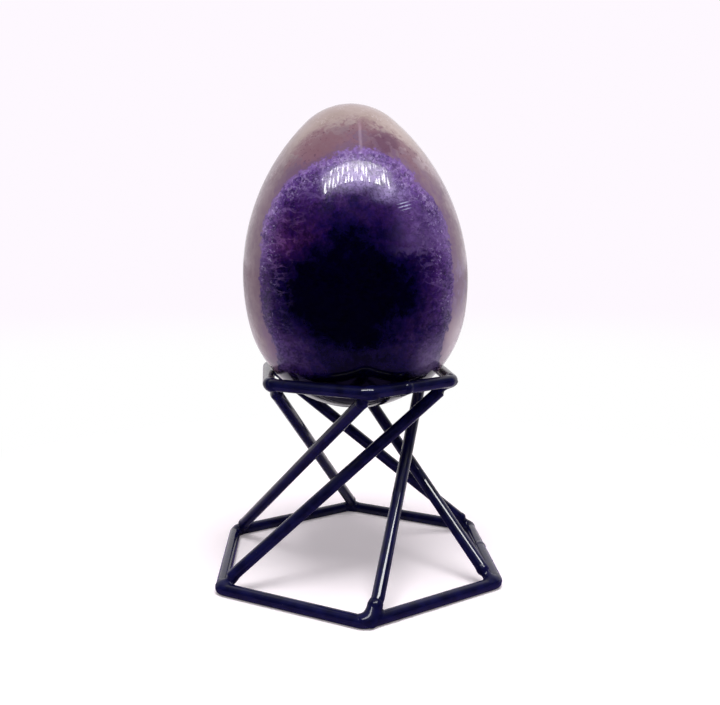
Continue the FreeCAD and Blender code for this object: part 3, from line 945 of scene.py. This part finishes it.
def healed_crack(board, colour, stone, split):
    """A healed crack from the tip down to the purple, seen as a pale sheet edge on."""
    bend = board.spread(board.noise(stone, 0.5, 2.0), -0.25, 0.25)
    aside = board.math("ABSOLUTE", board.total(split["X"], bend, -0.2))
    sheet = board.product(
        board.remap(aside, 0.05, 0.6, 1.0, 0.0),
        board.remap(split["Z"], 33, 36),
        board.remap(split["Z"], 43, 39),
    )
    return board.tint(colour, (206, 184, 202), sheet, board.remap(split["Y"], -4, -9), 0.2)


def polish_coat(board, split, stone, shoulder):
    """The polish: strokes on the front shoulder, as long dots on a cylinder's unrolled skin."""
    around = board.vector("NORMALIZE", board.stretch(stone, (1, 1, 0)))
    along = board.add("ShaderNodeCombineXYZ", {2: split["Z"]}).outputs[0]
    unrolled = board.vector("ADD", board.scaled(around, STROKES_AROUND), board.scaled(along, STROKES_ALONG))
    stroke = board.remap(board.cells(unrolled, 1.0, randomness=0.7)["Distance"], 0.22, 0.48, 1.0, 0.0)
    strokes = board.math("MULTIPLY_ADD", stroke, 0.97, 0.03)
    node = board.add("ShaderNodeMix", {"Factor": shoulder, "A": 0.15, "B": strokes}, data_type="FLOAT")
    return node.outputs[0]


def egg_material():
    """Polished amethyst: a purple layer on the front of pale quartz, the darker the deeper it is."""
    material, board, shader, place = new_material("polished_amethyst")
    stone = board.millimetres(place, BUTT_CENTRE)
    split = board.add("ShaderNodeSeparateXYZ", {0: stone}).outputs
    depth = purple_depth(board, stone, split)
    rind = rind_colour(board, stone, split, depth)
    purple = amethyst_colour(board, stone, split, depth)
    colour = board.blend(board.remap(depth, -0.25, 0.35), rind, purple)
    board.feed(shader.inputs["Base Color"], healed_crack(board, colour, stone, split))

    shoulder = board.product(
        board.remap(split["Z"], 22, 25),
        board.remap(split["Z"], 32.2, 29.4),
        board.remap(split["Y"], -15.5, -17.5),
    )
    board.feed(shader.inputs["Coat Weight"], polish_coat(board, split, stone, shoulder))
    shader.inputs["Coat Roughness"].default_value = 0.03
    shader.inputs["IOR"].default_value = 1.24
    rough = board.spread(board.noise(stone, 0.35, 3.0), 0.1, 0.2, 0.3, 0.7)
    board.feed(shader.inputs["Roughness"], board.total(rough, board.product(shoulder, 0.05)))
    undulation = board.noise(stone, 0.12, 1.0, 0.4)
    bump = board.add("ShaderNodeBump", {"Height": undulation, "Strength": 0.1, "Distance": 0.5 * MM})
    board.feed(shader.inputs["Normal"], bump.outputs[0])
    return material


def enamel_material(name, lumpy):
    """Black dip enamel: glossy, a touch navy, thicker and thinner in places, with orange peel and dust.

    lumpy is 0 on plain wire and 1 on the welds.
    """
    material, board, shader, place = new_material(name)
    wire = board.millimetres(place)
    thickness = board.place(CLOUDS, Vector=wire, Scale=0.35, Swirl=1.5, Low=0.3, High=0.7)
    colour = board.blend(thickness, (0.0007, 0.0007, 0.019, 1), (0.0022, 0.0022, 0.045, 1))
    dust = board.place(SPECKS, Vector=wire, Scale=1.1, Size=0.14, Share=0.1)
    board.feed(shader.inputs["Base Color"], board.tint(colour, (96, 88, 118), dust, 0.3))
    board.feed(shader.inputs["Roughness"], board.remap(thickness, 0, 1, 0.38, 0.5))
    shader.inputs["Specular IOR Level"].default_value = 0.07
    coat = board.math("SUBTRACT", 1.0 - 0.55 * lumpy, board.product(dust, 0.6))
    board.feed(shader.inputs["Coat Weight"], coat)
    shader.inputs["Coat Roughness"].default_value = 0.04 + 0.06 * lumpy
    shader.inputs["Coat IOR"].default_value = 1.42
    peel = board.noise(wire, 1.6, 2.0, 0.5)
    runs = board.place(CLOUDS, Vector=wire, Scale=0.8 + 0.5 * lumpy, Swirl=0.6, Low=0.3, High=0.7)
    height = board.total(board.product(peel, 0.3), board.product(runs, 0.5 + lumpy))
    strength = 0.025 + 0.095 * lumpy
    bump = board.add("ShaderNodeBump", {"Height": height, "Strength": strength, "Distance": 0.1 * MM})
    board.feed(shader.inputs["Normal"], bump.outputs[0])
    return material


def floor():
    """A broad pale table top that fades into the backdrop's colour, and keeps the stand's shadow."""
    corners = [(x * TABLE_REACH, y * TABLE_REACH, 0) for x, y in ((-1, -1), (1, -1), (1, 1), (-1, 1))]
    mesh = bpy.data.meshes.new("table_top")
    mesh.from_pydata(corners, [], [(0, 1, 2, 3)])
    table = bpy.data.objects.new("table_top", mesh)
    bpy.context.scene.collection.objects.link(table)
    material, board, shader, place = new_material("table_top_white")
    path = board.add("ShaderNodeLightPath").outputs
    grain = board.place(CLOUDS, Vector=board.millimetres(place), Scale=0.5, Swirl=1.0)
    pale = board.blend(grain, (0.91, 0.84, 0.88, 1), (0.93, 0.865, 0.905, 1))
    front = board.add("ShaderNodeSeparateXYZ", {0: place}).outputs["Y"]
    paper = board.remap(front, PAPER_FRONT - PAPER_FADE, PAPER_FRONT + PAPER_FADE)
    mirrored = board.blend(paper, (0.005, 0.004, 0.02, 1), (0.13, 0.09, 0.3, 1))
    mirrored = board.blend(board.remap(front, 0, PALE_BEHIND), mirrored, (0.8, 0.76, 0.8, 1))
    board.feed(shader.inputs["Base Color"], board.blend(path["Is Glossy Ray"], pale, mirrored))
    shader.inputs["Roughness"].default_value = 0.9
    shader.inputs["Specular IOR Level"].default_value = 0.0

    def shining(colour, strength=1.0):
        return board.add("ShaderNodeEmission", {"Color": colour, "Strength": strength}).outputs[0]

    away = board.length(place)
    lift = shining((1, 0.93, 0.98, 1), FLOOR_LIFT)
    lit = board.add("ShaderNodeAddShader", {0: shader.outputs[0], 1: lift}).outputs[0]
    near = board.mixed(board.remap(away, WHITE_FROM, WHITE_TO), lit, shining((1, 1, 1, 1)))
    seen = board.mixed(board.remap(away, BACKDROP_FROM, BACKDROP_TO), near, shining(screen(*BACKDROP)))
    surface = board.mixed(path["Is Camera Ray"], shader.outputs[0], seen)
    board.feed(material.node_tree.nodes["Material Output"].inputs["Surface"], surface)
    table.data.materials.append(material)


def lamp(name, location, target, size, power, shines=True, lights=True):
    """A rectangular lamp. Without shines it isn't mirrored, and without lights it is only mirrored."""
    light = bpy.data.lights.new(name, "AREA")
    light.shape = "RECTANGLE"
    light.size, light.size_y = size
    light.energy = power
    holder = bpy.data.objects.new(name, light)
    holder.location = location
    holder.rotation_mode = "QUATERNION"
    holder.rotation_quaternion = (Vector(target) - Vector(location)).to_track_quat("-Z", "Y")
    holder.visible_glossy = shines
    holder.visible_diffuse = lights
    bpy.context.scene.collection.objects.link(holder)


def world():
    """A white room behind and beside the object, and a dark one behind the camera."""
    made = bpy.data.worlds.new("studio")
    bpy.context.scene.world = made
    made.use_nodes = True
    board = Board(made.node_tree)
    path = board.add("ShaderNodeLightPath").outputs
    around = board.add("ShaderNodeTexCoord").outputs["Generated"]
    way = board.add("ShaderNodeSeparateXYZ", {0: around}).outputs
    behind = board.remap(way["Y"], -0.05, 0.5, 0.004, 0.8)
    ceiling = board.remap(way["Z"], 0.3, 0.9, 0.0, 0.05)
    right_wall = board.product(
        board.remap(way["X"], 0.45, 0.8),
        board.remap(way["Z"], 0.14, 0.24),
        board.remap(way["Z"], 0.7, 0.4),
        0.03,
    )
    room = board.math("MAXIMUM", behind, board.math("MAXIMUM", ceiling, right_wall))
    soft = made.node_tree.nodes["Background"]
    soft.inputs["Color"].default_value = (1, 0.985, 1, 1)
    soft.inputs["Strength"].default_value = AMBIENT
    mirrored = board.add("ShaderNodeBackground", {"Color": (1, 0.97, 1, 1), "Strength": room})
    seen = board.add("ShaderNodeBackground", {"Color": screen(*BACKDROP), "Strength": 1.0})
    lighting = board.mixed(path["Is Glossy Ray"], soft.outputs[0], mirrored.outputs[0])
    surface = board.mixed(path["Is Camera Ray"], lighting, seen.outputs[0])
    board.feed(made.node_tree.nodes["World Output"].inputs["Surface"], surface)


def camera():
    """The photo's camera, as fitted to the rings' corners and the egg's outline."""
    lens = bpy.data.cameras.new("camera")
    lens.sensor_width = SENSOR
    lens.lens = LENS
    lens.clip_start, lens.clip_end = 0.005, 20
    holder = bpy.data.objects.new("camera", lens)
    holder.location = CAMERA_PLACE
    holder.rotation_mode = "QUATERNION"
    holder.rotation_quaternion = (CAMERA_TARGET - CAMERA_PLACE).to_track_quat("-Z", "Y")
    bpy.context.scene.collection.objects.link(holder)
    bpy.context.scene.camera = holder


camera()
world()
floor()
lamp("overhead", *OVERHEAD_LAMP, shines=False)
lamp("strip", *STRIP_LAMP, lights=False)

bpy.context.scene.view_settings.view_transform = "Standard"
enamel = enamel_material("black_enamel_on_wire", 0.0)
weld_enamel = enamel_material("black_enamel_on_welds", 1.0)
egg = egg_piece()
dress(egg, "crystal_egg", "egg", egg_material())
base = ring_piece("base_ring_wire", *BASE_RING, 1.0)
dress(base, "base_ring", "stand", enamel)
top = ring_piece("top_ring_wire", *TOP_RING, 2.0)
dress(top, "top_ring", "stand", enamel)
for number in range(1, CORNERS + 1):
    leg_pieces(number, enamel, weld_enamel)
base_seam = seam_piece("base_ring_seam_bead", BASE_RING, 0.0, BASE_SEAM_OFFSET, 1.0)
dress(base_seam, "base_ring_seam_weld", "stand", enamel)
top_seam = seam_piece("top_ring_seam_bead", TOP_RING, TOP_SEAM_SIDE, TOP_SEAM_OFFSET, 2.0)
dress(top_seam, "top_ring_seam_weld", "stand", enamel)
